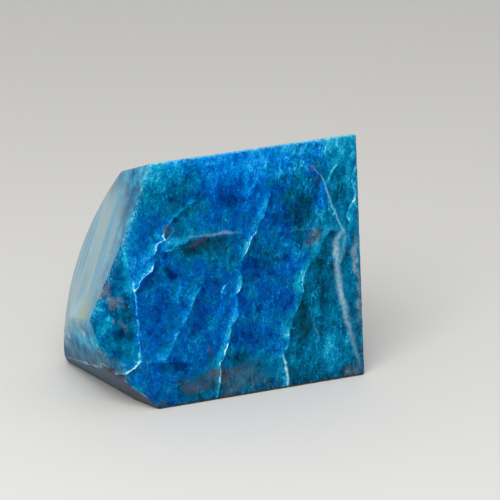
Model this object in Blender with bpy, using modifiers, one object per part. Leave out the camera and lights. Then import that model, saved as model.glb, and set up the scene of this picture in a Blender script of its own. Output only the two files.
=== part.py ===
"""Blue apatite: one freeform stone with flat polished faces, a rounded left side and worn, chipped edges.

The working zero is the front left corner of the foot. X runs along the front foot to the right, Y goes
to the back and Z is up. At the end the stone is moved so that the middle of its foot's outline box is
the origin. Lengths are in metres.
"""

import math

import bmesh
import bpy
from mathutils import Euler, Matrix, Vector

MM = 0.001

# A point well inside the stone. Each face's reach is measured from here.
HEART = Vector((22.0, 20.0, 22.0)) * MM
ROUGH_BLOCK = 160.0 * MM

# Flat faces. Turn is the angle about Z from facing -Y, positive towards +X. Lean is the angle above level.
# Reach is the distance from the heart.
FACES = {
    "front": {"turn": 0.0, "lean": 5.0, "reach": 18.0 * MM},
    "right": {"turn": 94.4, "lean": 0.0, "reach": 26.35 * MM},
    "top": {"turn": -176.4, "lean": 71.0, "reach": 23.75 * MM},
    "back": {"turn": -178.2, "lean": 8.0, "reach": 15.45 * MM},
    "left_upper": {"turn": -101.4, "lean": 22.4, "reach": 27.1 * MM},
    "left_lower": {"turn": -91.5, "lean": -15.5, "reach": 33.2 * MM},
    "front_left": {"turn": -26.9, "lean": 2.0, "reach": 27.55 * MM},
    "undercut": {"turn": -82.5, "lean": -43.0, "reach": 32.9 * MM},
    "toe_undercut": {"turn": -73.0, "lean": -41.0, "reach": 33.9 * MM},
    "foot": {"turn": 0.0, "lean": -90.0, "reach": 22.0 * MM},
}

# The stone's rounded outer skin, kept on the left behind the flat face: a large stretched ball.
SKIN_CENTRE = Vector((86.3, -74.7, 3.7)) * MM
SKIN_RADII = Vector((70.8, 146.7, 95.0)) * MM
SKIN_TURN = math.radians(33.0)
SKIN_SEGMENTS = 256

# Worn edges
WEAR = 0.45 * MM
WEAR_SEGMENTS = 2
WEAR_FROM_ANGLE = math.radians(12.0)
CRISP_FROM_ANGLE = math.radians(25.0)

# Chips broken out of the edges: place, size along the edge, across it and in depth, and turn about Z
CHIPS = {
    "toe": {"at": (-5.5, -3.4, 7.2), "size": (6.0, 6.0, 6.0), "turn": 0.0},
    "rim_tip": {"at": (-6.5, 2.8, 7.3), "size": (1.3, 0.8, 0.7), "turn": 20.0},
    "rim_front": {"at": (-7.9, 3.7, 8.7), "size": (1.2, 0.8, 0.6), "turn": -30.0},
    "rim_middle": {"at": (-8.5, 14.5, 6.7), "size": (0.6, 1.6, 0.6), "turn": 8.0},
    "rim_back": {"at": (-7.4, 27.0, 3.8), "size": (0.6, 1.9, 0.6), "turn": 0.0},
    "top_nick": {"at": (34.4, 4.4, 53.1), "size": (0.9, 0.5, 0.4), "turn": 0.0},
    "left_nick": {"at": (-5.4, 3.0, 36.0), "size": (0.6, 0.6, 0.9), "turn": 35.0},
}
CHIP_DETAIL = 3

STONE_COLOUR = (0.010, 0.130, 0.300, 1.0)
STONE_ROUGHNESS = 0.18


def face_normal(turn, lean):
    """Outward direction of a face from its turn and lean in degrees."""
    level = math.cos(math.radians(lean))
    angle = math.radians(turn)
    return Vector((math.sin(angle) * level, -math.cos(angle) * level, math.sin(math.radians(lean))))


def new_collection(name):
    collection = bpy.data.collections.new(name)
    bpy.context.scene.collection.children.link(collection)
    return collection


def move_to(obj, collection):
    for old in list(obj.users_collection):
        old.objects.unlink(obj)
    collection.objects.link(obj)


def ground_block():
    """A rough block cut back to each flat face, with each cut closed."""
    block = bmesh.new()
    bmesh.ops.create_cube(block, size=ROUGH_BLOCK, matrix=Matrix.Translation(HEART))
    for face in FACES.values():
        outward = face_normal(face["turn"], face["lean"])
        cut = bmesh.ops.bisect_plane(
            block,
            geom=block.verts[:] + block.edges[:] + block.faces[:],
            plane_co=HEART + outward * face["reach"],
            plane_no=outward,
            clear_outer=True,
        )
        rim = [item for item in cut["geom_cut"] if isinstance(item, bmesh.types.BMEdge)]
        bmesh.ops.edgeloop_fill(block, edges=rim)
    bmesh.ops.recalc_face_normals(block, faces=block.faces)
    mesh = bpy.data.meshes.new("stone")
    block.to_mesh(mesh)
    block.free()
    shade(mesh)
    return mesh


def shade(mesh):
    """Smooth over the rounded parts, crisp over the ground edges."""
    mesh.shade_smooth()
    mesh.set_sharp_from_angle(angle=CRISP_FROM_ANGLE)


def as_cutter(obj, name, collection):
    obj.name = name
    shade(obj.data)
    obj.hide_render = True
    obj.display_type = "WIRE"
    move_to(obj, collection)
    return obj


def skin_ball(collection):
    bpy.ops.mesh.primitive_uv_sphere_add(
        segments=SKIN_SEGMENTS, ring_count=SKIN_SEGMENTS // 2, radius=1.0, location=SKIN_CENTRE
    )
    ball = bpy.context.object
    ball.scale = SKIN_RADII
    ball.rotation_euler = Euler((0.0, 0.0, SKIN_TURN))
    return as_cutter(ball, "outer_skin", collection)


def chip_cutter(name, chip, collection):
    bpy.ops.mesh.primitive_ico_sphere_add(
        subdivisions=CHIP_DETAIL, radius=1.0, location=Vector(chip["at"]) * MM
    )
    flake = bpy.context.object
    flake.scale = Vector(chip["size"]) * MM
    flake.rotation_euler = Euler((0.0, 0.0, math.radians(chip["turn"])))
    return as_cutter(flake, "chip_" + name, collection)


def add_boolean(stone, cutter, operation):
    cut = stone.modifiers.new(cutter.name, "BOOLEAN")
    cut.object = cutter
    cut.operation = operation
    cut.solver = "EXACT"


def add_wear(stone):
    wear = stone.modifiers.new("worn_edges", "BEVEL")
    wear.width = WEAR
    wear.segments = WEAR_SEGMENTS
    wear.limit_method = "ANGLE"
    wear.angle_limit = WEAR_FROM_ANGLE


def stone_material():
    material = bpy.data.materials.new("blue_apatite")
    material.use_nodes = True
    surface = material.node_tree.nodes["Principled BSDF"]
    surface.inputs["Base Color"].default_value = STONE_COLOUR
    surface.inputs["Roughness"].default_value = STONE_ROUGHNESS
    surface.inputs["Metallic"].default_value = 0.0
    return material


def stand_on_origin(zero, stone):
    """Moves the working zero so that the stone's box has its bottom centre at the origin."""
    bpy.context.view_layer.update()
    shaped = stone.evaluated_get(bpy.context.evaluated_depsgraph_get())
    corners = [stone.matrix_world @ vertex.co for vertex in shaped.data.vertices]
    low = [min(corner[axis] for corner in corners) for axis in range(3)]
    high = [max(corner[axis] for corner in corners) for axis in range(3)]
    zero.location -= Vector(((low[0] + high[0]) / 2, (low[1] + high[1]) / 2, low[2]))
    bpy.context.view_layer.update()


def build():
    for obj in list(bpy.data.objects):
        bpy.data.objects.remove(obj, do_unlink=True)
    parts = new_collection("blue_apatite")
    cutters = new_collection("cutters")

    zero = bpy.data.objects.new("working_zero", None)
    parts.objects.link(zero)

    stone = bpy.data.objects.new("stone", ground_block())
    parts.objects.link(stone)
    add_wear(stone)
    add_boolean(stone, skin_ball(cutters), "INTERSECT")
    for name, chip in CHIPS.items():
        add_boolean(stone, chip_cutter(name, chip, cutters), "DIFFERENCE")
    stone.data.materials.append(stone_material())
    for obj in [stone, *cutters.objects]:
        obj.parent = zero
    stand_on_origin(zero, stone)


build()
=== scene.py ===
# %% [markdown]
# # A polished piece of blue apatite
#
# The stone is one block of blue mineral, ground flat on most sides and left rounded on its left. It
# stands on a flat foot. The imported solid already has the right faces, edges and larger chips, so this
# lesson adds what a solid model can't carry: worn and nicked edges, grain, crackle, pale veins, rusty
# patches, and the polish that all of them sit under.

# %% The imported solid
import math

import bmesh
import bpy
import numpy as np
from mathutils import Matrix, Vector, noise
from mathutils.bvhtree import BVHTree


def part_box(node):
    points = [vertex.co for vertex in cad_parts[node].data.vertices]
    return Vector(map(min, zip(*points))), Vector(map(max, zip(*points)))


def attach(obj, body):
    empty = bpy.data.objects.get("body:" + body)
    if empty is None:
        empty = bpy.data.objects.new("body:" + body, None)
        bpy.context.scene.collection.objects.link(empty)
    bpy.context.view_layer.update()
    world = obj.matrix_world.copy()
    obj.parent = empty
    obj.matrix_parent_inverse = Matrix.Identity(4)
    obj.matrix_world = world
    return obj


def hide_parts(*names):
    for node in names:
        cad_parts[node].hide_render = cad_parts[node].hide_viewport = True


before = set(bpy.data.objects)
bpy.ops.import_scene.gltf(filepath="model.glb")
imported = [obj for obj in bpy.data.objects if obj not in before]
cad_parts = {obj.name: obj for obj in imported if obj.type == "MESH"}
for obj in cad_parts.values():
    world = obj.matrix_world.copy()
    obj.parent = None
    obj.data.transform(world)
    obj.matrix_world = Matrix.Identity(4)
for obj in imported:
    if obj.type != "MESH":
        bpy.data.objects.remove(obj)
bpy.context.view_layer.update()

MM = 0.001
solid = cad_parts["stone"]
low_corner, high_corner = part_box("stone")
size_mm = (high_corner - low_corner) / MM
print("solid", solid.name, "is", [round(side, 1) for side in size_mm], "mm")

# %% [markdown]
# ## A dense skin over the solid
#
# A polished stone needs its nicks and soft edges as real geometry, because a bump can't change an
# outline. The solid has long thin triangles, which can't bend. A voxel remesh lays an even net over
# it, but blurs the flat faces a little. So each point of the net is put back on the nearest point of
# the solid, and only then moved. Working from the solid keeps the ground faces truly flat.

# %% An even net of small squares
NET_STEP = 0.38 * MM
WELD = 0.001 * MM


def even_net(source, name):
    """A closed net of small squares that lies exactly on the source's surface."""
    shape = bmesh.new()
    shape.from_mesh(source.data)
    bmesh.ops.remove_doubles(shape, verts=shape.verts, dist=WELD)
    surface = BVHTree.FromBMesh(shape)
    mesh = bpy.data.meshes.new(name)
    shape.to_mesh(mesh)
    shape.free()
    piece = bpy.data.objects.new(name, mesh)
    bpy.context.scene.collection.objects.link(piece)
    net = piece.modifiers.new("net", "REMESH")
    net.mode = "VOXEL"
    net.voxel_size = NET_STEP
    shaped = piece.evaluated_get(bpy.context.evaluated_depsgraph_get())
    piece.data = bpy.data.meshes.new_from_object(shaped)
    piece.modifiers.clear()
    for vertex in piece.data.vertices:
        vertex.co = surface.find_nearest(vertex.co)[0]
    return piece


stone = even_net(solid, "polished_apatite")
print("net", len(stone.data.vertices), "points,", len(stone.data.polygons), "faces")

# %% The net as arrays, in millimetres


def as_arrays(mesh):
    points = np.empty(len(mesh.vertices) * 3, np.float32)
    mesh.vertices.foreach_get("co", points)
    outward = np.empty(len(mesh.vertices) * 3, np.float32)
    mesh.vertex_normals.foreach_get("vector", outward)
    links = np.empty(len(mesh.edges) * 2, np.int32)
    mesh.edges.foreach_get("vertices", links)
    points = points.reshape(-1, 3).astype(float) / MM
    outward = outward.reshape(-1, 3).astype(float)
    return points, outward, links.reshape(-1, 2)


points, outward, links = as_arrays(stone.data)
print("links", len(links))

# %% [markdown]
# ## Where the edges are
#
# Polish wears an edge first, and chips start there. To find the edges, a copy of the net is melted by
# averaging each point with its neighbours. Ridges sink and hollows rise as it melts, so the
# distance that a point has moved along its own outward direction says how sharp the stone is there.

# %% How sharp the stone is at each point
MELT_ROUNDS = 9
SHARPEST_PERCENT = 99.0


def melted(places, pairs, rounds):
    """The net after each point is averaged with its neighbours a few times."""
    count = np.bincount(pairs.ravel(), minlength=len(places))[:, None]
    for _ in range(rounds):
        total = np.stack([
            np.bincount(pairs[:, 0], places[pairs[:, 1], axis], len(places))
            + np.bincount(pairs[:, 1], places[pairs[:, 0], axis], len(places))
            for axis in range(3)
        ], axis=1)
        places = total / count
    return places


sunk = ((points - melted(points, links, MELT_ROUNDS)) * outward).sum(axis=1)
ridge = np.clip(sunk / np.percentile(sunk, SHARPEST_PERCENT), 0.0, 1.0)
print("ridge points", int((ridge > 0.5).sum()))

# %% [markdown]
# ## Nicks and scuffs along named lines
#
# Some edges of this stone are more damaged than others. The edge between the front and the small
# facet beside it is a bright line that ends in a chipped corner, and the rim over the undercut is
# nicked all along. Each such line is written down as a few points in millimetres. A point of the net
# that is near a line is marked as scuffed.

# %% Lines of wear, from their points in millimetres
WEAR_LINES = {
    "facet_edge": {
        "path": [(-22.5, -17.4, 26.6), (-21.9, -17.7, 23.2), (-21.9, -18.0, 19.8), (-21.8, -18.3, 16.6),
                 (-21.6, -18.8, 10.9)],
        "width": 0.32, "strength": 0.15,
    },
    "broken_corner": {
        "path": [(-21.6, -18.8, 10.9), (-22.4, -18.4, 9.6), (-23.6, -17.9, 8.6), (-25.4, -16.9, 8.3)],
        "width": 0.5, "strength": 0.7,
    },
    "rim": {
        "path": [(-25.4, -16.9, 8.3), (-28.4, -15.4, 9.4), (-28.0, -5.2, 7.0), (-27.5, 5.0, 4.6),
                 (-26.3, 12.0, 3.6)],
        "width": 0.4, "strength": 0.6,
    },
}


def distance_to_path(places, path):
    """Distance of each place from the nearest stretch of a path."""
    nearest = np.full(len(places), np.inf)
    for start, end in zip(np.array(path[:-1]), np.array(path[1:])):
        stretch = end - start
        along = np.clip(((places - start) @ stretch) / (stretch @ stretch), 0.0, 1.0)
        gap = np.linalg.norm(places - (start + along[:, None] * stretch), axis=1)
        nearest = np.minimum(nearest, gap)
    return nearest


scuff = np.zeros(len(points))
for line in WEAR_LINES.values():
    gap = distance_to_path(points, line["path"])
    scuff = np.maximum(scuff, line["strength"] * np.exp(-(gap / line["width"]) ** 2))
print("scuffed points", int((scuff > 0.3).sum()))

# %% Move the points: nicks only go inwards
NICK_DEPTH = 0.16
NICK_SIZE = 0.9
NICK_CONTRAST = 2.2
NICK_SHIFT = 11.0
EDGE_SHARE = 0.4
RIPPLE_DEPTH = 0.02
RIPPLE_SIZE = 4.0
RIPPLE_SHIFT = 37.0


def noise_at(places, size, shift):
    """Smooth noise between 0 and 1 at each place, with features about as large as size."""
    return np.array([
        noise.noise(Vector(place) / size + Vector((shift, shift, shift))) * 0.5 + 0.5 for place in places
    ])


nick = np.clip(noise_at(points, NICK_SIZE, NICK_SHIFT) * NICK_CONTRAST - 1.0, 0.0, 1.0)
ripple = noise_at(points, RIPPLE_SIZE, RIPPLE_SHIFT)
inward = NICK_DEPTH * nick * np.maximum(ridge * EDGE_SHARE, scuff) + RIPPLE_DEPTH * ripple
shaped_points = (points - outward * inward[:, None]) * MM
shaped_points[:, 2] = np.maximum(shaped_points[:, 2], low_corner.z)
stone.data.vertices.foreach_set("co", shaped_points.astype(np.float32).ravel())
stone.data.shade_smooth()
stone.data.update()
print("deepest nick", round(float(inward.max()), 2), "mm")

# %% [markdown]
# ## Broad zones of light, dark and stain
#
# The blue isn't even: there are navy patches, bright windows, a teal third on the right, rusty stains
# near the foot and a milky left side, whose paleness is partly painted reflection. They sit where they
# do on this one stone, so they are given as soft ellipsoids, each with a centre and size in
# millimetres. They are worked out once at the points of the net and kept there as attributes, because
# a shader would have to work them out again for every ray. The finish below only breaks up their
# borders with fine grain.

# %% Soft ellipsoids
# The front face's run for each millimetre of height, and its place at the foot
FRONT_LEAN = 0.0875
FRONT_Y = -19.7
ZONE_DEPTH = 6.0
# A zone fades out between these two multiples of its size
ZONE_END = 1.35
ZONE_FULL = 0.35
WAVES = 6
WAVE_SHARE = 0.4
WOBBLE_SEED = 5


def smooth(values, start, end):
    """Goes smoothly from 0 to 1 as the values go from start to end."""
    ratio = np.clip((values - start) / (end - start), 0.0, 1.0)
    return ratio * ratio * (3.0 - 2.0 * ratio)


def wobbled(places, reach, size, seed):
    """The places pushed about by slow waves in many directions, so that painted borders aren't round."""
    chance = np.random.default_rng(seed)
    pushed = places.copy()
    for axis in range(3):
        for _ in range(WAVES):
            heading = chance.normal(size=3)
            heading /= np.linalg.norm(heading)
            wave = size * chance.uniform(0.5, 1.8)
            start = chance.uniform(0.0, math.tau)
            pushed[:, axis] += reach * WAVE_SHARE * np.sin(places @ heading * (math.tau / wave) + start)
    return pushed


def zone(centre, sizes):
    """How far inside a soft ellipsoid each point of the net is, from 0 to 1."""
    away = np.linalg.norm((wobbly - np.array(centre)) / np.array(sizes), axis=1)
    return smooth(away, ZONE_END, ZONE_FULL)


def on_front_face(x, z, across, tall):
    """The centre and sizes of a zone that is given by its place on the front face."""
    return (x, FRONT_Y + FRONT_LEAN * z, z), (across, ZONE_DEPTH, tall)


wobbly = wobbled(points, 0.8, 6.0, WOBBLE_SEED)
print("wobble up to", round(float(np.abs(wobbly - points).max()), 1), "mm")

# %% Lighter and darker zones, and bluer and greener ones
# On the front face: x, z, half width, half height, amount
FRONT_TONES = [
    (-0.2, 42.3, 3.2, 4.2, -0.22),
    (5.6, 43.7, 2.3, 5.3, 0.10),
    (15.7, 38.2, 3.3, 6.0, -0.22),
    (20.0, 43.9, 1.9, 3.4, -0.22),
    (-11.0, 44.7, 4.1, 3.7, -0.10),
    (-20.7, 31.9, 3.6, 4.6, 0.14),
    (-9.0, 34.0, 3.6, 1.7, -0.14),
    (-5.0, 32.6, 7.0, 2.4, -0.14),
    (5.7, 27.7, 4.2, 3.4, -0.15),
    (-13.9, 28.8, 1.5, 1.1, -0.42),
    (-18.7, 26.8, 2.7, 1.7, -0.18),
    (-5.8, 25.0, 2.3, 2.1, -0.15),
    (2.7, 13.0, 2.8, 3.0, -0.12),
    (-7.7, 18.2, 2.3, 4.7, -0.12),
    (-14.0, 8.4, 3.2, 1.7, -0.25),
    (1.0, 8.8, 2.2, 1.9, -0.25),
    (16.5, 14.3, 2.1, 4.8, -0.28),
    (21.6, 22.3, 2.2, 6.5, -0.20),
    (22.5, 6.4, 2.8, 4.5, 0.20),
    (26.2, 1.4, 2.9, 1.8, -0.25),
    (29.0, 42.0, 1.7, 7.6, 0.20),
    (25.6, 40.3, 1.4, 1.9, -0.20),
    (22.4, 38.5, 1.9, 3.0, 0.10),
    (-14.0, 34.7, 2.2, 1.3, 0.28),
    (6.0, 48.5, 11.0, 3.0, 0.10),
    (4.0, 44.5, 4.0, 3.0, 0.08),
    (24.5, 41.0, 2.2, 6.0, 0.10),
    (27.0, 31.0, 1.6, 4.0, 0.10),
    (19.5, 38.0, 1.8, 3.0, 0.08),
]
FRONT_TEALS = [
    (-12.0, 43.0, 6.0, 7.0, 0.55),
    (-9.0, 34.5, 6.5, 3.0, 0.60),
    (-18.0, 48.0, 3.0, 4.0, 0.50),
    (8.0, 31.0, 4.0, 4.0, 0.35),
    (2.0, 46.0, 8.0, 6.0, -0.45),
    (-3.0, 31.5, 8.0, 3.6, 0.50),
    (0.0, 8.0, 7.0, 4.0, 0.55),
    (16.0, 42.0, 3.6, 8.0, 0.45),
    (20.0, 33.0, 4.5, 6.0, 0.60),
]
# On the small facets: centre, half sizes, amount
FACET_TONES = [
    ((-29.2, -14.5, 21.5), (2.0, 2.0, 3.0), 0.26),
    ((-26.6, -15.8, 15.2), (2.4, 2.4, 3.0), -0.06),
    ((-23.8, -17.1, 21.5), (2.0, 2.0, 4.0), -0.22),
    ((-23.4, -17.5, 15.0), (1.8, 2.0, 3.0), -0.12),
    ((-23.8, -17.7, 10.0), (2.2, 2.2, 1.4), 0.26),
    ((-28.8, -8.0, 12.6), (3.0, 8.0, 4.0), 0.22),
]

placed_tone = sum(zone(*on_front_face(*place)) * amount for *place, amount in FRONT_TONES)
placed_tone += sum(zone(centre, sizes) * amount for centre, sizes, amount in FACET_TONES)
placed_teal = sum(zone(*on_front_face(*place)) * amount for *place, amount in FRONT_TEALS)
print("placed tone", round(float(placed_tone.min()), 2), "to", round(float(placed_tone.max()), 2))

# %% Stains and milky spots: each is laid over the ones before it


def srgb(red, green, blue):
    """A colour given as it looks on screen, from 0 to 255, in the linear form that shaders use."""
    def linear(level):
        level = level / 255.0
        return level / 12.92 if level <= 0.04045 else ((level + 0.055) / 1.055) ** 2.4
    return (linear(red), linear(green), linear(blue), 1.0)


RUST = srgb(76, 56, 64)
GREY = srgb(76, 92, 100)
LILAC_GREY = srgb(112, 132, 146)
UMBER = srgb(20, 58, 72)
EYE_BROWN = srgb(62, 62, 66)
FACET_GREY = srgb(94, 104, 116)

# On the front face: x, z, half width, half height, colour, amount
FRONT_STAINS = [
    (-7.6, 33.9, 4.6, 1.5, UMBER, 0.55),
    (-3.0, 32.0, 6.0, 2.2, UMBER, 0.35),
    (-13.5, 35.8, 1.4, 1.4, UMBER, 0.5),
    (16.5, 14.3, 1.6, 4.2, UMBER, 0.5),
    (-7.6, 4.2, 7.0, 2.8, UMBER, 0.75),
    (3.0, 4.6, 6.0, 3.4, UMBER, 0.65),
    (-5.1, 9.6, 1.0, 1.6, UMBER, 0.6),
    (27.0, 2.0, 3.5, 2.0, UMBER, 0.6),
    (29.5, 8.0, 1.6, 8.0, UMBER, 0.5),
    (0.6, 4.4, 4.6, 1.1, GREY, 0.50),
    (-0.5, 2.6, 2.2, 1.8, GREY, 0.50),
    (6.9, 1.7, 5.7, 1.5, GREY, 0.30),
    (19.3, 32.0, 2.0, 2.4, GREY, 0.60),
    (19.2, 32.2, 1.2, 1.7, RUST, 0.35),
    (20.5, 44.1, 0.9, 1.9, GREY, 0.3),
    (29.6, 25.6, 1.2, 6.6, LILAC_GREY, 0.75),
    (29.4, 17.0, 1.2, 5.0, LILAC_GREY, 0.5),
    (27.6, 1.2, 2.4, 1.6, LILAC_GREY, 0.5),
    (-8.8, 3.8, 3.4, 1.2, RUST, 0.85),
    (-5.4, 5.6, 3.4, 1.1, RUST, 0.95),
    (-1.6, 6.2, 2.6, 0.9, RUST, 0.60),
    (-1.8, 0.6, 2.2, 0.9, RUST, 0.8),
    (-14.1, 37.3, 0.8, 1.1, EYE_BROWN, 0.9),
    (-5.1, 10.7, 0.5, 0.9, EYE_BROWN, 0.8),
    (-7.4, 34.6, 2.4, 0.8, RUST, 0.8),
    (19.6, 46.8, 1.3, 0.7, RUST, 0.50),
    (-18.6, 1.4, 2.2, 0.6, RUST, 0.8),
]
# On the small facets: centre, half sizes, colour, amount
FACET_STAINS = [
    ((-25.8, -16.0, 23.6), (2.1, 2.1, 1.8), FACET_GREY, 0.95),
    ((-27.4, -15.0, 26.2), (1.5, 1.6, 2.0), FACET_GREY, 0.85),
    ((-26.4, -15.8, 19.2), (0.7, 0.8, 0.9), FACET_GREY, 0.80),
    ((-24.6, -16.8, 17.8), (0.6, 0.8, 2.2), FACET_GREY, 0.50),
    ((-28.4, 8.0, 13.0), (4.0, 6.0, 8.0), srgb(158, 190, 198), 0.85),
    ((-29.6, -1.0, 17.0), (2.0, 2.6, 2.4), srgb(104, 156, 168), 0.50),
    ((-30.0, -8.6, 15.6), (1.8, 1.8, 0.9), srgb(158, 198, 216), 0.75),
    ((-27.4, 4.4, 7.6), (1.6, 4.0, 1.4), srgb(90, 112, 120), 0.70),
]
# On the left side: centre, half sizes, colour, amount
LEFT_SPOTS = [
    ((-29.7, -8.0, 20.0), (2.5, 3.5, 4.5), srgb(158, 176, 118), 0.50),
    ((-29.0, -13.5, 23.9), (1.6, 2.4, 4.0), srgb(92, 152, 180), 0.60),
    ((-26.1, -11.7, 29.8), (1.6, 2.0, 3.0), srgb(80, 150, 190), 0.45),
    ((-29.8, -0.6, 16.5), (3.0, 4.5, 8.0), srgb(176, 206, 214), 0.45),
]


def laid_over(layers):
    """One colour and one cover for each point, from soft zones laid over each other."""
    colour = np.zeros((len(points), 3))
    cover = np.zeros(len(points))
    for centre, sizes, paint, amount in layers:
        share = zone(centre, sizes) * amount
        both = share + cover * (1.0 - share)
        kept = np.where(both > 0.0, cover * (1.0 - share) / np.maximum(both, 1e-6), 0.0)
        colour = colour * kept[:, None] + np.array(paint[:3]) * (1.0 - kept[:, None])
        cover = both
    return np.column_stack([colour, cover])


front_layers = [(*on_front_face(*place), paint, amount) for *place, paint, amount in FRONT_STAINS]
stains = laid_over(front_layers + FACET_STAINS)
left_spots = laid_over(LEFT_SPOTS)
print("stained points", int((stains[:, 3] > 0.3).sum()))

# %% [markdown]
# ## Veins
#
# A vein is a crack that pale mineral has healed: a thin sheet through the stone, seen as a line where
# it meets a face. Each sheet is a line drawn once by its points on the front face, and carried back
# into the stone with a slant. Light gathers in the stone on one side of a crack and is missing on the
# other, so each vein also raises the tone on one side of it and lowers the tone on the other. That
# broad light is worked out here at the net's points. The thin line itself is left to the finish, which
# can draw it far finer than the net.

# %% The veins' points
# A rising vein's are height, across and strength. A level one's are across, height and strength.
MAIN_VEIN = [
    (47.5, 9.5, 0.05), (44.3, 9.6, 0.1), (41.6, 9.3, 0.2), (39.8, 8.5, 0.55), (37.5, 7.7, 0.7),
    (37.0, 6.8, 0.25), (35.4, 6.2, 0.5), (34.6, 6.0, 1), (33.9, 4.8, 1), (32.6, 4.5, 0.7),
    (31.2, 3.7, 1), (30.4, 3.2, 0.7), (29.7, 2.5, 0.6), (28.7, 2.0, 0.3), (26.7, 2.1, 0.25),
    (24.8, 2.3, 0.3), (23.5, 2.0, 0.6), (22.9, 1.7, 0.9), (22.0, 0.7, 0.3), (20.8, 1.4, 0.3),
    (19.4, 0.9, 0.3), (18.0, 1.3, 0.4), (16.6, 0.5, 0.5), (15.5, -0.5, 0.45), (14.0, -1.0, 0.8),
    (12.1, -1.3, 0.5), (11.3, -1.6, 1), (10.3, -2.1, 1), (9.1, -2.8, 0.8), (7.7, -3.6, 0.9),
    (6.8, -3.5, 0.2), (5.9, -3.3, 0.9), (3.8, -3.7, 0.9), (2.5, -4.0, 0.7), (1.5, -4.4, 0.8),
    (0.0, -4.9, 0.9),
]
BRANCH_VEIN = [
    (24.8, -1.2, 0.6), (23.5, -2.4, 0.9), (22.4, -2.7, 0.6), (20.7, -2.6, 0.4), (19.3, -3.5, 0.4),
    (17.8, -4.5, 0.5), (16.2, -5.8, 0.4), (14.2, -5.4, 0.3), (11.9, -4.6, 0.4),
]
LEFT_VEIN = [
    (43.2, -7.3, 0.2), (42.2, -9.1, 0.4), (41.3, -10.5, 0.3), (40.2, -12.2, 0.5),
    (38.8, -14.0, 0.5), (37.6, -14.9, 0.8), (36.4, -15.4, 1), (35.8, -15.0, 0.9),
    (35.1, -16.5, 0.8), (33.7, -17.2, 1), (32.6, -18.0, 0.6), (32.2, -18.5, 0.5),
]
LEFT_VEIN_LOW = [
    (31.0, -17.5, 0.8), (29.5, -18.3, 1), (28.8, -19.5, 0.8), (27.9, -20.7, 0.8),
    (26.9, -21.4, 0.9), (26.2, -22.0, 1),
]
EYE_RIGHT = [(37.8, -12.7, 0.5), (36.6, -13.5, 0.7), (35.5, -14.8, 0.7)]
LEVEL_VEIN = [
    (-9.7, 35.8, 0.5), (-9.0, 35.6, 0.6), (-6.9, 35.6, 0.6), (-4.0, 35.4, 0.8), (-1.2, 35.5, 0.9),
    (1.3, 35.2, 0.5), (2.6, 34.9, 0.15), (4.1, 34.8, 0.05), (9.2, 34.3, 0.15), (12.7, 34.1, 0.2),
    (16.3, 33.9, 0.25), (21.0, 33.5, 0.3), (27.0, 32.6, 0.3),
]
PATCH_LINE = [
    (-14.8, 33.2, 1), (-13.4, 33.3, 0.9), (-12.7, 34.0, 0.8), (-11.8, 34.5, 0.8),
    (-10.2, 34.6, 0.9), (-9.2, 35.2, 0.6),
]
RIGHT_THREAD = [
    (47.9, 19.2, 0.2), (46.5, 20.3, 0.6), (45.0, 21.7, 0.8), (42.8, 22.6, 0.9), (40.1, 23.4, 0.9),
    (37.2, 24.5, 0.9), (34.6, 25.6, 0.9), (32.6, 26.5, 0.8),
]
RIGHT_BAND = [
    (32.6, 26.5, 0.6), (30.6, 24.8, 0.75), (28.0, 24.7, 0.9), (25.8, 24.8, 0.8), (23.0, 25.0, 0.75),
    (19.6, 25.3, 0.85), (16.2, 26.2, 0.8), (12.8, 26.8, 0.7), (9.4, 27.7, 0.6), (5.9, 28.8, 0.5),
    (1.7, 29.9, 0.35),
]
RIGHT_TWIN = [(32.5, 26.8, 0.6), (30.4, 26.9, 0.6), (28.2, 26.6, 0.6), (25.7, 25.8, 0.5)]
TEAL_VEIN = [
    (33.3, 24.1, 0.2), (31.6, 22.2, 0.5), (28.6, 20.4, 0.35), (26.7, 18.6, 0.3), (23.9, 16.8, 0.6),
    (22.2, 16.3, 0.6), (20.6, 16.7, 0.5), (18.1, 15.7, 0.5), (15.1, 13.9, 0.3), (12.6, 13.3, 0.3),
    (9.4, 12.5, 0.4), (8.0, 11.5, 0.4), (6.7, 11.5, 0.8), (4.9, 11.8, 0.8), (2.6, 12.2, 0.7),
    (0.0, 12.1, 0.7),
]
TEAL_FOOT = [(8.0, 11.5, 0.1), (6.7, 11.5, 0.7), (4.9, 11.8, 0.9), (2.6, 12.2, 0.9), (0.0, 12.1, 0.9)]
# not a vein: a painted highlight along the edge between the front and the small facet beside it, drawn as a
# lit line
FACET_EDGE_HIGHLIGHT = [
    (34.8, -23.8, 0.35), (33.3, -23.7, 0.5), (31.0, -23.4, 0.55), (28.6, -22.9, 0.55),
    (26.6, -22.3, 0.8), (24.7, -22.0, 1), (21.9, -21.9, 0.85), (18.8, -21.8, 0.8),
    (15.6, -21.8, 0.8), (11.7, -21.6, 0.9),
]
HOOK = [(48.0, 27.8, 0.2), (46.9, 25.8, 0.5), (45.8, 24.3, 0.6), (43.7, 23.5, 0.4)]
EDGE_THREAD = [
    (47.2, 30.4, 0.6), (44.8, 29.6, 0.7), (42.7, 29.0, 0.5), (40.4, 29.7, 0.8), (38.9, 29.4, 0.9),
    (37.2, 28.1, 0.7), (35.7, 27.6, 0.8), (34.1, 28.3, 0.5),
]
SHORT_STREAK = [(16.7, 18.0, 0.2), (13.5, 18.9, 0.5), (11.2, 19.5, 0.7), (9.0, 19.7, 0.3)]
LOW_THREAD_A = [(6.1, 4.3, 0.3), (4.0, 3.7, 0.5), (2.2, 3.6, 0.4), (0.6, 4.3, 0.4)]
LOW_THREAD_B = [(4.7, 10.1, 0.3), (3.0, 9.6, 0.4), (0.4, 9.5, 0.3)]
AZURE_STREAK = [
    (25.6, -6.7, 0.5), (22.8, -8.5, 0.6), (20.2, -9.9, 0.8), (17.9, -11.4, 0.8), (15.2, -13.2, 0.8),
    (12.4, -14.7, 0.7), (10.8, -15.9, 0.5),
]
AZURE_STREAK_LEFT = [(26.5, -11.7, 0.9), (24.8, -12.0, 0.9), (22.7, -12.6, 0.7), (21.0, -12.2, 0.4)]
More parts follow.
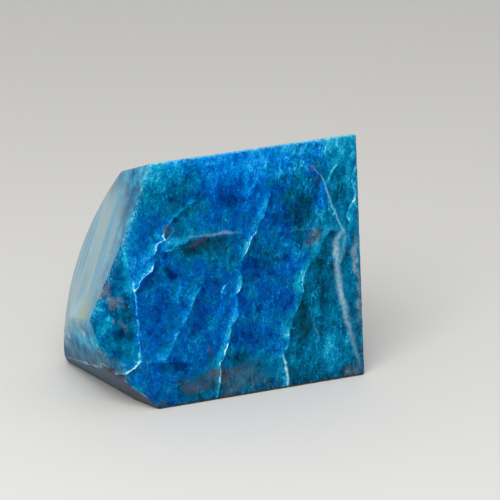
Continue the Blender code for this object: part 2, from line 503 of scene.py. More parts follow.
UPPER_STREAK = [(49.7, 9.4, 0.6), (47.3, 7.9, 0.7), (45.3, 6.4, 0.8), (43.4, 5.2, 0.7), (41.0, 3.9, 0.3)]
# a painted highlight on the chipped corner where the facet edge meets the rim
RIM_CORNER_HIGHLIGHT = [(-25.9, 7.9, 0.5), (-24.6, 8.2, 0.9), (-23.6, 8.5, 1.0), (-22.7, 9.4, 1.0), (-21.7, 10.8, 0.9)]
FACET_TAIL = [(11.0, -21.6, 0.5), (8.0, -21.3, 0.35), (5.0, -21.0, 0.3)]
DIAGONAL = [(35.1, -0.1, 0.6), (33.0, 1.2, 0.5), (31.3, 3.0, 0.3)]
ARC = [(-7.6, 26.7, 0.5), (-6.6, 27.3, 0.8), (-5.5, 26.7, 0.6), (-4.6, 26.4, 0.9)]
STEP_LINE = [(-21.3, 10.8, 0.6), (-17.3, 10.1, 0.8), (-11.6, 9.4, 0.8)]

BAND_WHITE = srgb(150, 188, 202)
THREAD_PALE = srgb(110, 178, 200)
LEVEL_GREY = srgb(120, 148, 176)
LIT = None

# Each vein: its points, whether it rises, half its width and its soft border, how much of it shows, its
# colour, or LIT where it only lifts the stone's own tone, how far and how strongly light gathers beside
# it, and its slant into the stone
# Two of these are not veins but painted highlights on edges: facet_edge and corner.
VEINS = {
    "level": (LEVEL_VEIN, False, 0.05, 0.75, 0.85, LEVEL_GREY, -1.6, 0.10, 0.15),
    "patch": (PATCH_LINE, False, 0.03, 0.16, 0.55, LIT, -1.6, 0.18, -0.10),
    "upper_streak": (UPPER_STREAK, True, 0.10, 0.90, 0.20, LIT, 2.4, 0.12, 0.30),
    "azure_streak": (AZURE_STREAK, True, 0.10, 0.70, 0.34, LIT, 3.4, 0.16, 0.30),
    "azure_streak_left": (AZURE_STREAK_LEFT, True, 0.05, 0.60, 0.22, LIT, 1.8, 0.10, 0.30),
    "teal": (TEAL_VEIN, True, 0.05, 0.40, 1.40, LIT, 3.0, 0.24, 0.30),
    "short": (SHORT_STREAK, True, 0.04, 0.30, 0.50, BAND_WHITE, 1.0, 0.04, 0.30),
    "low_a": (LOW_THREAD_A, True, 0.04, 0.60, 0.45, BAND_WHITE, 1.0, 0.04, 0.20),
    "low_b": (LOW_THREAD_B, True, 0.04, 0.70, 0.45, BAND_WHITE, 1.0, 0.04, 0.20),
    "teal_foot": (TEAL_FOOT, True, 0.04, 0.80, 0.70, BAND_WHITE, 1.0, 0.04, 0.20),
    "band_twin": (RIGHT_TWIN, True, 0.02, 1.00, 0.75, BAND_WHITE, 1.5, 0.08, 0.25),
    "band": (RIGHT_BAND, True, 0.10, 1.70, 1.00, BAND_WHITE, 1.2, 0.06, 0.25),
    "thread": (RIGHT_THREAD, True, 0.02, 0.50, 0.85, THREAD_PALE, 1.0, 0.05, 0.25),
    "hook": (HOOK, True, 0.06, 0.60, 1.60, LIT, 1.2, 0.10, 0.30),
    "edge_thread": (EDGE_THREAD, True, 0.06, 0.34, 0.85, LIT, -2.0, 0.16, 0.30),
    "branch": (BRANCH_VEIN, True, 0.04, 0.24, 1.00, LIT, -2.2, 0.12, 0.30),
    "eye": (EYE_RIGHT, True, 0.03, 0.18, 0.90, BAND_WHITE, -1.0, 0.06, -0.20),
    "diagonal": (DIAGONAL, True, 0.03, 0.20, 0.30, LIT, 1.0, 0.03, 0.0),
    "arc": (ARC, False, 0.02, 0.14, 0.70, LIT, 1.2, 0.06, 0.0),
    "step": (STEP_LINE, False, 0.02, 0.20, 0.25, LIT, -3.0, 0.10, 0.0),
    "left": (LEFT_VEIN, True, 0.05, 0.18, 1.00, LIT, 3.0, 0.26, -0.20),
    "left_low": (LEFT_VEIN_LOW, True, 0.08, 0.20, 0.90, LIT, 3.6, 0.34, -0.20),
    "main": (MAIN_VEIN, True, 0.04, 0.16, 1.00, LIT, 2.6, 0.26, 0.35),
    # a painted highlight along the edge of the small facet
    "facet_edge": (FACET_EDGE_HIGHLIGHT, True, 0.03, 0.26, 0.74, LIT, 1.2, 0.06, 0.0),
    "facet_tail": (FACET_TAIL, True, 0.03, 0.18, 0.60, LIT, 1.0, 0.04, 0.0),
    # a painted highlight on the chipped corner
    "corner": (RIM_CORNER_HIGHLIGHT, False, 0.14, 0.32, 1.00, LIT, -1.6, 0.16, 0.0),
}

print(len(VEINS), "veins")

# %% Light beside each vein
SHADE_SHARE = 0.45
CLEAR = 0.6


def closed_path(path):
    """The path in order, with an end point of no strength a little beyond each end."""
    path = sorted(path)
    first, last = path[0], path[-1]
    return [(first[0] - CLEAR, first[1], 0.0), *path, (last[0] + CLEAR, last[1], 0.0)]


def light_beside(path, rises, reach, gathers, lean):
    """How much each point of the net is lightened or darkened by the vein near it."""
    steps, line, strength = zip(*closed_path(path))
    level, height = slightly_wobbly[:, 0], slightly_wobbly[:, 2]
    along, across = (height, level) if rises else (level, height)
    offset = across - behind * lean - np.interp(along, steps, line)
    side = offset * math.copysign(1.0, reach)
    before = smooth(side, -abs(reach), -0.1) * smooth(side, 0.2, -0.1)
    after = smooth(side, -0.05, 0.3) * smooth(side, 2.2, 0.5)
    presence = smooth(np.interp(along, steps, strength, 0.0, 0.0), 0.0, 0.35)
    return (before - after * SHADE_SHARE) * gathers * presence


behind = points[:, 1] - (points[:, 2] * FRONT_LEAN + FRONT_Y)
slightly_wobbly = wobbled(points, 0.12, 2.0, WOBBLE_SEED)
uneven = 0.55 + 0.9 * smooth(noise_at(points, 2.4, 5.0), 0.3, 0.7)
vein_light = sum(
    light_beside(path, rises, reach, gathers, lean)
    for path, rises, _, _, _, _, reach, gathers, lean in VEINS.values()
)
placed_tone += vein_light * uneven
print("light beside veins", round(float(vein_light.min()), 2), "to", round(float(vein_light.max()), 2))

# %% Keep the painted values on the net
for title, values in (("ridge", ridge), ("tone", placed_tone), ("teal", placed_teal)):
    layer = stone.data.attributes.new(title, "FLOAT", "POINT")
    layer.data.foreach_set("value", values.astype(np.float32))
for title, values in (("stains", stains), ("left_spots", left_spots)):
    layer = stone.data.attributes.new(title, "FLOAT_COLOR", "POINT")
    layer.data.foreach_set("color", values.astype(np.float32).ravel())
print("attributes", [layer.name for layer in stone.data.attributes])

# %% [markdown]
# ## Shader maths as Python sums
#
# The colours of a mineral are sums of many fields: broad zones, fibres, grain, cracks. Written as
# nodes by hand, such a sum is unreadable. Here one small class holds an output of a node, and adding
# or multiplying two of them adds the Math node that does it. Every other node comes from one method.

# %% A node output that can be added and multiplied


class Wire:
    """One output of a shader node. A sum or product of wires and numbers adds its Math nodes."""

    tree = None

    def __init__(self, socket):
        self.socket = socket

    @classmethod
    def node(cls, kind, settings=None, inputs=None, output=0):
        """Any node: its settings first, then its sockets' values or wires."""
        made = cls.tree.nodes.new(kind)
        for name, value in (settings or {}).items():
            if name == "stops":
                cls.set_stops(made.color_ramp, value)
            elif name == "points":
                cls.set_points(made.mapping, value)
            else:
                setattr(made, name, value)
        for name, value in (inputs or {}).items():
            if isinstance(value, Wire):
                cls.tree.links.new(value.socket, made.inputs[name])
            else:
                made.inputs[name].default_value = value
        return cls(made.outputs[output]) if len(made.outputs) else None

    @staticmethod
    def set_stops(ramp, stops):
        while len(ramp.elements) < len(stops):
            ramp.elements.new(1.0)
        for element, (place, colour) in zip(ramp.elements, stops):
            element.position = place
            element.color = colour

    @staticmethod
    def set_points(mapping, places):
        mapping.extend = "HORIZONTAL"
        curve = mapping.curves[0]
        while len(curve.points) < len(places):
            curve.points.new(0.5, 0.5)
        for point, place in zip(curve.points, places):
            point.location = place
            point.handle_type = "VECTOR"
        mapping.update()

    @classmethod
    def math(cls, operation, *values):
        return cls.node("ShaderNodeMath", {"operation": operation}, dict(enumerate(values)))

    def __add__(self, other):
        return self.math("ADD", self, other)

    def __sub__(self, other):
        return self.math("SUBTRACT", self, other)

    def __rsub__(self, other):
        return self.math("SUBTRACT", other, self)

    def __mul__(self, other):
        return self.math("MULTIPLY", self, other)

    def __truediv__(self, other):
        return self.math("DIVIDE", self, other)

    def __abs__(self):
        return self.math("ABSOLUTE", self)

    __radd__ = __add__
    __rmul__ = __mul__


# %% Helpers for colours, places and soft steps


def vector(operation, *values, output=0):
    return Wire.node("ShaderNodeVectorMath", {"operation": operation}, dict(enumerate(values)), output)


def scaled(place, factor):
    return Wire.node("ShaderNodeVectorMath", {"operation": "SCALE"}, {0: place, "Scale": factor})


def step(value, start, end, low=0.0, high=1.0):
    """Goes smoothly from low to high as the value goes from start to end, and stays there outside."""
    return Wire.node(
        "ShaderNodeMapRange", {"interpolation_type": "SMOOTHSTEP", "clamp": True},
        {0: value, 1: start, 2: end, 3: low, 4: high},
    )


def blend(amount, first, second):
    """A colour between two, by an amount from 0 to 1."""
    return Wire.node(
        "ShaderNodeMix", {"data_type": "RGBA", "clamp_factor": True},
        {0: amount, 6: first, 7: second}, output=2,
    )


def part(place, axis):
    return Wire.node("ShaderNodeSeparateXYZ", None, {0: place}, output=axis)


def join(x, y, z):
    return Wire.node("ShaderNodeCombineXYZ", None, {0: x, 1: y, 2: z})


def grain(place, per_mm, detail=3.0, rough=0.55, output=0):
    """Cloudy noise with so many features to a millimetre."""
    return Wire.node(
        "ShaderNodeTexNoise", None,
        {"Vector": place, "Scale": per_mm, "Detail": detail, "Roughness": rough}, output,
    )


def wander(place, per_mm, reach, detail=2.0):
    """The same place, pushed about by noise, up to about reach in millimetres."""
    push = vector("SUBTRACT", grain(place, per_mm, detail, output=1), (0.5, 0.5, 0.5))
    return vector("ADD", place, scaled(push, 2.0 * reach))


# %% [markdown]
# ## The places that the patterns use
#
# Every pattern is drawn in the stone's own volume, in millimetres from its zero, so it runs on from
# one face to the next as it does in rock. Straight patterns look drawn, so most are read at a place
# that noise has pushed about a little: far and slowly for broad zones, less and faster for veins.

# %% Places in the stone
STONE_FINISH = "blue_apatite_polished"
finish = bpy.data.materials.new(STONE_FINISH)
finish.use_nodes = True
Wire.tree = finish.node_tree
Wire.tree.nodes.clear()

mm_place = scaled(Wire.node("ShaderNodeTexCoord", output="Object"), 1.0 / MM)
facing = Wire.node("ShaderNodeTexCoord", output="Normal")
drifting = wander(mm_place, 0.16, 1.6)
slightly_swaying = wander(mm_place, 0.45, 0.45)
ragged = wander(wander(mm_place, 0.45, 0.55), 1.8, 0.22)
x_mm, y_mm, z_mm = (part(mm_place, axis) for axis in range(3))
print("place nodes", len(Wire.tree.nodes))

# %% [markdown]
# ## Which face a place is on
#
# The stone's front is deep blue and glassy, while its left side is pale and streaked, and small facets
# have colours of their own. Each ground face is a flat plane, so how far a place lies below that plane
# tells whether it is on the face. That gives a clean border at an edge, however nicked the edge is.

# %% Ground faces: turn from the front, lean above level, and reach from a point inside, in millimetres
HEART = (2.946, 0.272, 22.0)


def below(turn, lean, reach):
    """Millimetres above the plane of a ground face, so below zero in the stone."""
    turn, lean = math.radians(turn), math.radians(lean)
    out = (math.sin(turn) * math.cos(lean), -math.cos(turn) * math.cos(lean), math.sin(lean))
    return vector("DOT_PRODUCT", vector("SUBTRACT", mm_place, HEART), out, output=1) - reach


front_gap = below(0.0, 5.0, 18.0)
facet_gap = below(-26.9, 2.0, 27.55)
low_gap = below(-91.5, -15.5, 33.2)
left_gap = below(-101.4, 22.4, 27.1)
top_gap = below(-176.4, 71.0, 23.75)
under_gap = Wire.math("MAXIMUM", below(-82.5, -43.0, 32.9), below(-73.0, -41.0, 33.9))
on_front, on_facet, on_low = (step(gap, -0.7, -0.3) for gap in (front_gap, facet_gap, low_gap))
off_faces = (1.0 - on_front) * (1.0 - on_facet) * (1.0 - on_low)
on_left = off_faces * step(part(facing, 0), -0.30, -0.60)
on_left = on_left * step(part(facing, 2), -0.28, -0.10) * step(z_mm + y_mm * 0.3, 9.0, 12.0)
on_under = step(part(facing, 2), -0.30, -0.50) * (1.0 - on_low)
beneath_rim = off_faces * step(x_mm, -22.8, -24.5) * step(z_mm, 12.0, 9.0) * step(y_mm, 14.0, 8.0)
on_under = Wire.math("MAXIMUM", on_under, beneath_rim)
print("face nodes", len(Wire.tree.nodes))

# %% [markdown]
# ## Fibres, mottling, crackle and grains
#
# Up close the stone is a felt of fine grains with dark rounded blots and pale threads in it. Towards
# the right it turns into upright fibres. Noise that is squeezed across the fibres and stretched along
# them gives the fibres. A thread is the line where a noise passes its middle value. The borders of
# Voronoi cells give the straighter cracks.

# %% Fine structure
FIBRE_SLANT = 0.18
FIBRE_STRETCH = 0.34

swaying = wander(mm_place, 0.11, 1.2)
upright = join(part(swaying, 0) - z_mm * FIBRE_SLANT, y_mm, z_mm * FIBRE_STRETCH)
upright = wander(upright, 0.9, 0.22)
fibrous = step(x_mm, -12.0, 20.0, 0.35, 1.0)
fibre = grain(upright, 2.3, 2.0, 0.55)
strand = grain(upright, 0.85, 3.0, 0.6)
stirred = wander(mm_place, 0.5, 0.9)
felt = grain(wander(mm_place, 0.8, 0.3), 1.3, 5.0, 0.7)
grit = grain(mm_place, 4.2, 2.0, 0.6)
mottle = grain(stirred, 0.42, 3.0, 0.55)
clouds = grain(drifting, 0.21, 4.0, 0.55)
tall_cells = vector("MULTIPLY", wander(mm_place, 0.8, 0.7, 3.0), (1.0, 1.0, 0.72))


def crackle(per_mm, thin):
    """Straight cracks, from the borders between cells."""
    gap = Wire.node(
        "ShaderNodeTexVoronoi", {"feature": "DISTANCE_TO_EDGE"}, {"Vector": tall_cells, "Scale": per_mm}
    )
    return step(gap, 0.0, thin, 1.0, 0.0)


def threads(place, per_mm, thin):
    """Thin wandering lines, where a noise passes its middle value."""
    return step(abs(grain(place, per_mm, 3.0, 0.6) - 0.5), 0.0, thin, 1.0, 0.0)


crack_patches = step(grain(mm_place, 0.30), 0.46, 0.60)
cracks = crackle(0.60, 0.06) * crack_patches
fine_threads = threads(stirred, 0.75, 0.022) * step(grain(mm_place, 0.7), 0.42, 0.60)
long_threads = threads(upright, 0.55, 0.020) * step(grain(mm_place, 0.35, 2.0), 0.42, 0.60)
cells = Wire.node(
    "ShaderNodeTexVoronoi", {"feature": "SMOOTH_F1"}, {"Vector": tall_cells, "Scale": 0.52, "Smoothness": 0.5}
)
blots = step(grain(vector("MULTIPLY", stirred, (1.0, 1.0, 0.75)), 0.55, 3.0, 0.55), 0.56, 0.66)
dots = Wire.node("ShaderNodeTexVoronoi", {"feature": "F1"}, {"Vector": mm_place, "Scale": 0.55})
specks = step(dots, 0.05, 0.12, 1.0, 0.0) * step(grain(mm_place, 0.5), 0.50, 0.56)
print("fine structure nodes", len(Wire.tree.nodes))

# %% [markdown]
# ## Vein lines
#
# A curve node turns height into distance along the face, so one node holds a vein's whole jagged line,
# and a second one holds how strong the vein is at each height. How far a place is from the sheet gives
# the line. It is read at a place that noise has pushed about a little, which adds the smallest jags.

# %% Draw each vein's line
# Veins with a softer border than this are drawn along calmer lines
BROAD_VEIN = 0.45


def spread(values):
    low, high = min(values), max(values)
    return low, high, [(value - low) / (high - low) for value in values]


def remap(value, start, end, low, high):
    """Straight and not clamped, unlike step."""
    return Wire.node("ShaderNodeMapRange", {"clamp": False}, {0: value, 1: start, 2: end, 3: low, 4: high})


def curve(ratio, places):
    return Wire.node("ShaderNodeFloatCurve", {"points": places}, {"Value": ratio})


def sheet(path, along, across, lean_back):
    """Signed distance from a sheet, and its strength."""
    steps, line, strength = zip(*closed_path(path))
    start, end, ratios = spread(steps)
    low, high, levels = spread(line)
    ratio = remap(along, start, end, 0.0, 1.0)
    middle = remap(curve(ratio, list(zip(ratios, levels))), 0.0, 1.0, low, high)
    return across - behind_front * lean_back - middle, curve(ratio, list(zip(ratios, strength)))


behind_front = y_mm - (z_mm * FRONT_LEAN + FRONT_Y)
jagged = part(ragged, 0), part(ragged, 2)
calm = part(slightly_swaying, 0), part(slightly_swaying, 2)
broken = step(grain(mm_place, 1.1, 2.0), 0.36, 0.60, 0.55, 1.0)
line_light = 0.0
vein_polish = 0.0
coloured_veins = {BAND_WHITE: 0.0, THREAD_PALE: 0.0, LEVEL_GREY: 0.0}
for path, rises, half, soft, show, colour, _, _, lean in VEINS.values():
    level, height = calm if soft > BROAD_VEIN else jagged
    along, across = (height, level) if rises else (level, height)
    offset, strength = sheet(path, along, across, lean)
    gap = abs(offset) / remap(strength, 0.0, 1.0, 0.3, 1.0)
    mask = step(gap, half, half + soft, 1.0, 0.0) * strength
    if colour is LIT:
        line_light = mask * strength * show + line_light
    else:
        coloured_veins[colour] = mask * mask * show + coloured_veins[colour]
    vein_polish = mask + vein_polish
line_light = line_light * broken
print("vein nodes", len(Wire.tree.nodes))

# %% [markdown]
# ## The blue itself
#
# Colour comes from two numbers at each place. Tone says how deep or pale the stone is there, and teal
# says whether it leans to royal blue or to green. Each of the two hues has a ramp from its darkest to
# its palest colour, and the teal number mixes them. Every pattern above then only has to push tone up
# or down, which keeps the colours true to the stone wherever patterns overlap.

# %% Tone and hue


def painted(title, output="Fac"):
    return Wire.node("ShaderNodeAttribute", {"attribute_name": title}, output=output)


teal_border, _ = sheet(TEAL_VEIN, z_mm, part(drifting, 0), 0.3)
right_third = step(teal_border + (clouds - 0.5) * 3.0 + (felt - 0.5) * 3.0, -2.8, 0.6)
left_rim = step(left_gap + (felt - 0.5) * 1.5, -4.2, -0.4) * on_front
# painted light: the upper part of the stone is made paler, as if light from above shone in through the top
painted_top_light = step(z_mm + (felt - 0.5) * 7.0, 44.0, 53.5)
# painted highlight: a pale line along the top edge of the front
top_edge_highlight = step(top_gap + (felt - 0.5) * 0.4, -0.55, -0.10) * on_front
# painted shade: the stone is made darker towards the foot, where it meets the floor
painted_foot_shade = step(z_mm + (clouds - 0.5) * 4.0, 5.0, -1.0)
foot_teal = step(z_mm + (felt - 0.5) * 5.0, 9.0, 4.5) * step(x_mm, -18.0, -9.0)
low_side = on_facet * step(front_gap, -0.08, -0.30) + on_low

threaded = step(x_mm, 4.0, 22.0, 1.0, 1.7)
tone = (
    0.40
    + painted("tone")
    + line_light
    + (clouds - 0.5) * 0.34
    + ((clouds - 0.5) * 0.7 + (mottle - 0.5) * 0.5) * (1.0 - on_front)
    + (strand - 0.5) * fibrous * 0.56
    + (fibre - 0.5) * fibrous * 0.30
    + (felt - 0.5) * 0.55
    + (grit - 0.5) * 0.44
    + (cells - 0.55) * 0.20
    + cracks * 0.16
    + fine_threads * 0.26
    + long_threads * threaded * 0.22
    + specks * 0.35
    - blots * 0.18
    # painted light along the top
    + painted_top_light * 0.30
    # painted highlight on the front's top edge
    + top_edge_highlight * 0.34
    + left_rim * step(z_mm, 44.0, 36.0, 0.08, 0.20)
    + low_side * 0.05
    + on_low * 0.12
    + on_left * 0.16
    # painted shade towards the foot
    - painted_foot_shade * 0.16
)
teal = step(
    0.30 + painted("teal") + right_third * 0.80 + foot_teal * 0.7
    + left_rim * 0.5 + low_side * 0.58 + on_left * 0.75
    + (clouds - 0.5) * 1.0 + (mottle - 0.5) * 1.7 + (felt - 0.5) * 0.7 + (grit - 0.5) * 1.2,
    0.0, 1.0,
)

# The ramps hold tones from 0 to this
TONE_TOP = 1.5
BLUE_STOPS = [
    (0.00, srgb(0, 24, 82)),
    (0.22, srgb(0, 50, 120)),
    (0.45, srgb(0, 76, 152)),
    (0.62, srgb(0, 102, 186)),
    (0.80, srgb(4, 134, 212)),
    (1.05, srgb(60, 182, 226)),
    (1.45, srgb(196, 234, 246)),
]
TEAL_STOPS = [
    (0.00, srgb(0, 36, 52)),
    (0.22, srgb(0, 62, 88)),
    (0.45, srgb(0, 92, 130)),
    (0.62, srgb(2, 120, 162)),
    (0.80, srgb(16, 150, 188)),
    (1.05, srgb(88, 186, 204)),
    (1.45, srgb(196, 232, 238)),
]


def toned(stops):
    scaled_stops = [(level / TONE_TOP, colour) for level, colour in stops]
    return Wire.node("ShaderNodeValToRGB", {"stops": scaled_stops}, {0: tone * (1.0 / TONE_TOP)})


body = blend(teal, toned(BLUE_STOPS), toned(TEAL_STOPS))
print("nodes with tone and hue", len(Wire.tree.nodes))

# %% [markdown]
# ## Stains and pale veins over the blue
#
# The painted stains come next, with borders broken up by the same grain as the stone, so that they
# sit in it. The veins of pale mineral lie over them.

# %% Stains and coloured veins
stain_cover = painted("stains", "Alpha")
stain_grain = step(felt + (strand - 0.5) * 0.6, 0.34, 0.60, 0.10, 1.0)
ragged_stain = step(stain_cover + (mottle - 0.5) * 0.5, 0.10, 0.85) * stain_grain


def shaded(colour):
    """The colour made lighter and darker by the stone's own tone."""
    return Wire.node(
        "ShaderNodeMix", {"data_type": "RGBA", "blend_type": "MULTIPLY"},
        {0: 1.0, 6: colour, 7: step(tone, -0.2, 1.0, 0.45, 1.45)}, output=2,
    )


coloured = blend(ragged_stain * 0.9, body, shaded(painted("stains", "Color")))
for colour, mask in coloured_veins.items():
    coloured = blend(mask * broken, coloured, colour)
print("nodes with stains", len(Wire.tree.nodes))

# %% [markdown]
# ## Worn edges and painted edge light
#
# The polish is worn through and chipped at the edges, and the edges catch the light. Both are
# painted as pale stone: painted glints along the long left edge of the front and along its top edge, a
# thin painted highlight along the rim over the undercut, and a faint line elsewhere. A painted shadow
# runs along the foot.

# %% Chips with painted glints, the rim stain, a painted rim highlight and a painted foot shadow
# the pale colour of chipped stone and of the painted glints and highlights on the edges
EDGE_GLINT_PALE = srgb(170, 224, 238)
# the colour of the painted highlight along the rim
RIM_HIGHLIGHT_PALE = srgb(140, 168, 178)
RIM_GREY = srgb(76, 88, 96)

ridge_wire = painted("ridge")
bruise_grain = step(grain(mm_place, 2.9, 2.0, 0.6) + step(left_gap, -1.8, 0.0) * 0.06, 0.66, 0.74)
# painted glints: bright dots on the chipped long left edge of the front and its facet
chipped_glints = step(left_gap, -1.9, -0.3) * (on_front + on_facet) * bruise_grain * step(z_mm, 16.0, 24.0)
# painted highlight: a thin pale line along the same edge
edge_highlight_line = step(left_gap, -0.45, -0.10) * on_front * step(grain(mm_place, 0.9), 0.46, 0.62)
sparkle = step(grain(mm_place, 2.4, 2.0, 0.6), 0.52, 0.64)
# painted glints along the top edge of the front
top_edge_glints = step(top_gap, -0.9, -0.2) * on_front * step(grain(mm_place, 3.1, 2.0, 0.6), 0.58, 0.70)
# chips and painted glints together, laid over the colour as pale stone
chips_and_glints = chipped_glints * 0.48 + edge_highlight_line * 0.20 + ridge_wire * sparkle * 0.08 + top_edge_glints * 0.55
coloured = blend(chips_and_glints, coloured, EDGE_GLINT_PALE)

rim_stain = step(under_gap + (felt - 0.5) * 2.4, -2.8, -0.5) * low_side * step(x_mm, -23.5, -25.0)
coloured = blend(rim_stain * stain_grain * 0.85, coloured, RIM_GREY)
# painted highlight: a thin pale line along the rim over the undercut, where its small bevel catches the light
rim_highlight_line = step(under_gap, -0.30, -0.12) * step(Wire.math("MAXIMUM", low_gap, facet_gap), -0.35, -0.15)
rim_highlight_line = rim_highlight_line * step(grain(mm_place, 0.8), 0.35, 0.55)
coloured = blend(rim_highlight_line * 0.85, coloured, RIM_HIGHLIGHT_PALE)
# painted shadow: a thin dark line along the foot, where the stone meets the floor
foot_contact_shadow = step(z_mm + (felt - 0.5) * 0.5, 0.75, 0.30)
coloured = blend(foot_contact_shadow * 0.85, coloured, srgb(10, 24, 30))
print("nodes with worn edges", len(Wire.tree.nodes))

# %% [markdown]
# ## The left side and the undercut
#
# The left side has a duller finish and a milky skin with soft streaks that run down it: pale cyan,
# grey, beige and a little green, with the blue showing through near the top. Part of its paleness is a
# painted reflection of the bright surroundings. The undercut is slate grey, and brown towards the
# front, with painted shade where it faces the floor.

# %% Streaks of the left side, partly painted reflection
STREAK_ALONG = Vector((-8.6, -3.4, -18.8)).normalized()
STREAK_OUT = Vector((-0.9063, 0.1828, 0.3811)).normalized()
STREAK_OVER = STREAK_ALONG.cross(STREAK_OUT).normalized()


def streaked(per_mm, stretch, detail):
    place = join(
        vector("DOT_PRODUCT", mm_place, STREAK_OVER, output=1),
        vector("DOT_PRODUCT", mm_place, STREAK_OUT, output=1) * 0.3,
        vector("DOT_PRODUCT", mm_place, STREAK_ALONG, output=1) * stretch,
    )
    return grain(wander(place, 0.15, 1.2), per_mm, detail, 0.5)


streaks = streaked(0.13, 0.16, 3.0)
fine_streaks = streaked(0.7, 0.05, 2.0)
streak_colour = Wire.node("ShaderNodeValToRGB", {"stops": [
    (0.24, srgb(86, 152, 182)),
    (0.40, srgb(136, 172, 186)),
    (0.48, srgb(156, 178, 184)),
    (0.56, srgb(166, 176, 174)),
    (0.64, srgb(150, 178, 186)),
    (0.80, srgb(190, 214, 220)),
]}, {0: streaks + (fine_streaks - 0.5) * 0.40})
# how much milky skin and painted reflection covers the left side: little near the top, more lower down and
# further back from the front
reflection_veil = step(z_mm + (streaks - 0.5) * 16.0 - y_mm * 0.2, 50.0, 36.0, 0.05, 0.92)
reflection_veil = reflection_veil * step(front_gap + (fine_streaks - 0.5) * 9.0, 0.5, -12.0, 0.34, 1.0)
# the milky skin and painted reflection, with the left side's pale spots laid over it
milky_and_reflection = blend(painted("left_spots", "Alpha"), streak_colour, painted("left_spots", "Color"))
run_down = step(z_mm + (fine_streaks - 0.5) * 8.0 + y_mm * 0.3, 10.0, 18.5, 0.04, 0.95)
run_down = on_low * (1.0 - on_front) * run_down
# lay the milky skin and painted reflection over the left side and the upper part of the low facet
coloured = blend((on_left + run_down) * reflection_veil, coloured, milky_and_reflection)
print("nodes with the left side", len(Wire.tree.nodes))

# %% The undercut, with painted shade
# painted shade: the undercut is painted dark, slate grey at the back turning brown towards the front, with
# paler flecks, for the shade under the overhang
undercut_shade_colour = blend(step(y_mm + (felt - 0.5) * 6.0, 0.0, -12.0), srgb(58, 80, 86), srgb(70, 62, 66))
undercut_shade_colour = blend(step(felt, 0.40, 0.70) * 0.40, undercut_shade_colour, srgb(104, 122, 128))
coloured = blend(on_under * 0.85, coloured, undercut_shade_colour)
print("nodes with the undercut", len(Wire.tree.nodes))

# %% [markdown]
# ## Polish
#
# Apatite takes a glassy polish and bends light more than window glass, so its index is high. The worn
# edges, the left side, the low facets and the undercut are duller. The gloss that comes straight back
# is tinted blue by the stone, while grazing light stays white.

# %% The surface
APATITE_IOR = 1.63
STRAIGHT_GLOSS = 0.15
GLOSS_TINT = (0.02, 0.35, 0.75, 1.0)
BUMP_DEPTH = 0.05 * MM
BUMP_STRENGTH = 0.12

roughness = step(felt, 0.3, 0.7, 0.10, 0.20) + chips_and_glints * 0.25 + on_left * 0.38 + on_low * 0.50 + on_under * 0.35
height = (fibre * 0.3 + felt * 0.2 + vein_polish * 0.3) * (1.0 - on_left) + sparkle * ridge_wire * 0.4
bump = Wire.node(
    "ShaderNodeBump", None, {"Strength": BUMP_STRENGTH, "Distance": BUMP_DEPTH, "Height": height}
)
surface = Wire.node("ShaderNodeBsdfPrincipled", None, {
    "Base Color": coloured,
    "Roughness": roughness,
    "Normal": bump,
    "IOR": APATITE_IOR,
    "Specular IOR Level": STRAIGHT_GLOSS,
    "Specular Tint": GLOSS_TINT,
})
Wire.node("ShaderNodeOutputMaterial", None, {"Surface": surface})
stone.data.materials.clear()
stone.data.materials.append(finish)
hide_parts("stone")
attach(stone, "root")
print("stone finish nodes", len(finish.node_tree.nodes))

# %% [markdown]
# ## Floor and light
#
# The stone stands on a plain pale floor. The light is the soft daylight of a small studio: a pale
# surround, and one large window-like panel above the stone's front left.

# %% Floor
FLOOR_RADIUS = 900.0 * MM
FLOOR_SIDES = 96
FLOOR_COLOUR = (0.68, 0.675, 0.65, 1.0)
FLOOR_ROUGHNESS = 0.7


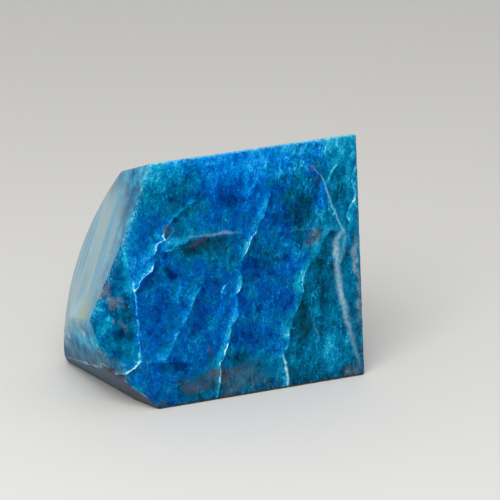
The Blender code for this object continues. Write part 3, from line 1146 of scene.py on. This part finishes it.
def make_floor():
    disc = bmesh.new()
    bmesh.ops.create_circle(disc, cap_ends=True, segments=FLOOR_SIDES, radius=FLOOR_RADIUS)
    mesh = bpy.data.meshes.new("pale_floor")
    disc.to_mesh(mesh)
    disc.free()
    floor = bpy.data.objects.new("pale_floor", mesh)
    bpy.context.scene.collection.objects.link(floor)
    material = bpy.data.materials.new("plain_pale")
    material.use_nodes = True
    Wire.tree = material.node_tree
    Wire.tree.nodes.clear()
    plain = Wire.node(
        "ShaderNodeBsdfPrincipled", None, {"Base Color": FLOOR_COLOUR, "Roughness": FLOOR_ROUGHNESS}
    )
    Wire.node("ShaderNodeOutputMaterial", None, {"Surface": plain})
    mesh.materials.append(material)
    return floor


floor = make_floor()
print("floor", floor.name, "with", len(floor.data.vertices), "corners")

# %% Soft light
WORLD_COLOUR = (1.0, 0.995, 0.985, 1.0)
WORLD_STRENGTH = 0.58
PANEL_SIZE = 520.0 * MM
PANEL_POWER = 4.3
PANEL_PLACE = Vector((-300.0, -410.0, 470.0)) * MM


def aim(thing, target):
    thing.rotation_euler = (target - thing.location).to_track_quat("-Z", "Y").to_euler()


world = bpy.data.worlds.new("pale_studio")
world.use_nodes = True
world.node_tree.nodes["Background"].inputs["Color"].default_value = WORLD_COLOUR
world.node_tree.nodes["Background"].inputs["Strength"].default_value = WORLD_STRENGTH
bpy.context.scene.world = world

panel = bpy.data.lights.new("window_panel", "AREA")
panel.shape = "SQUARE"
panel.size = PANEL_SIZE
panel.energy = PANEL_POWER
window = bpy.data.objects.new("window_panel", panel)
window.location = PANEL_PLACE
bpy.context.scene.collection.objects.link(window)
aim(window, Vector((0.0, 0.0, 0.0)))
bpy.context.scene.view_settings.view_transform = "Standard"
bpy.context.scene.view_settings.look = "None"
print("panel", round(PANEL_SIZE / MM), "mm wide,", round(window.location.length / MM), "mm away")

# %% [markdown]
# ## Camera
#
# The photograph was taken from some way off with a long lens, a little above the stone and round to
# its left. The place comes from matching the stone's corners.

# %% Camera
CAMERA_PLACE = Vector((-215.108, -467.369, 184.293)) * MM
CAMERA_TARGET = Vector((3.119, -19.646, 32.016)) * MM
LENS = 180.0
SENSOR_WIDTH = 36.0

camera_data = bpy.data.cameras.new("camera")
camera_data.lens = LENS
camera_data.sensor_width = SENSOR_WIDTH
camera = bpy.data.objects.new("camera", camera_data)
camera.location = CAMERA_PLACE
aim(camera, CAMERA_TARGET)
bpy.context.scene.collection.objects.link(camera)
bpy.context.scene.camera = camera
print("camera", round((CAMERA_PLACE - CAMERA_TARGET).length / MM), "mm away")
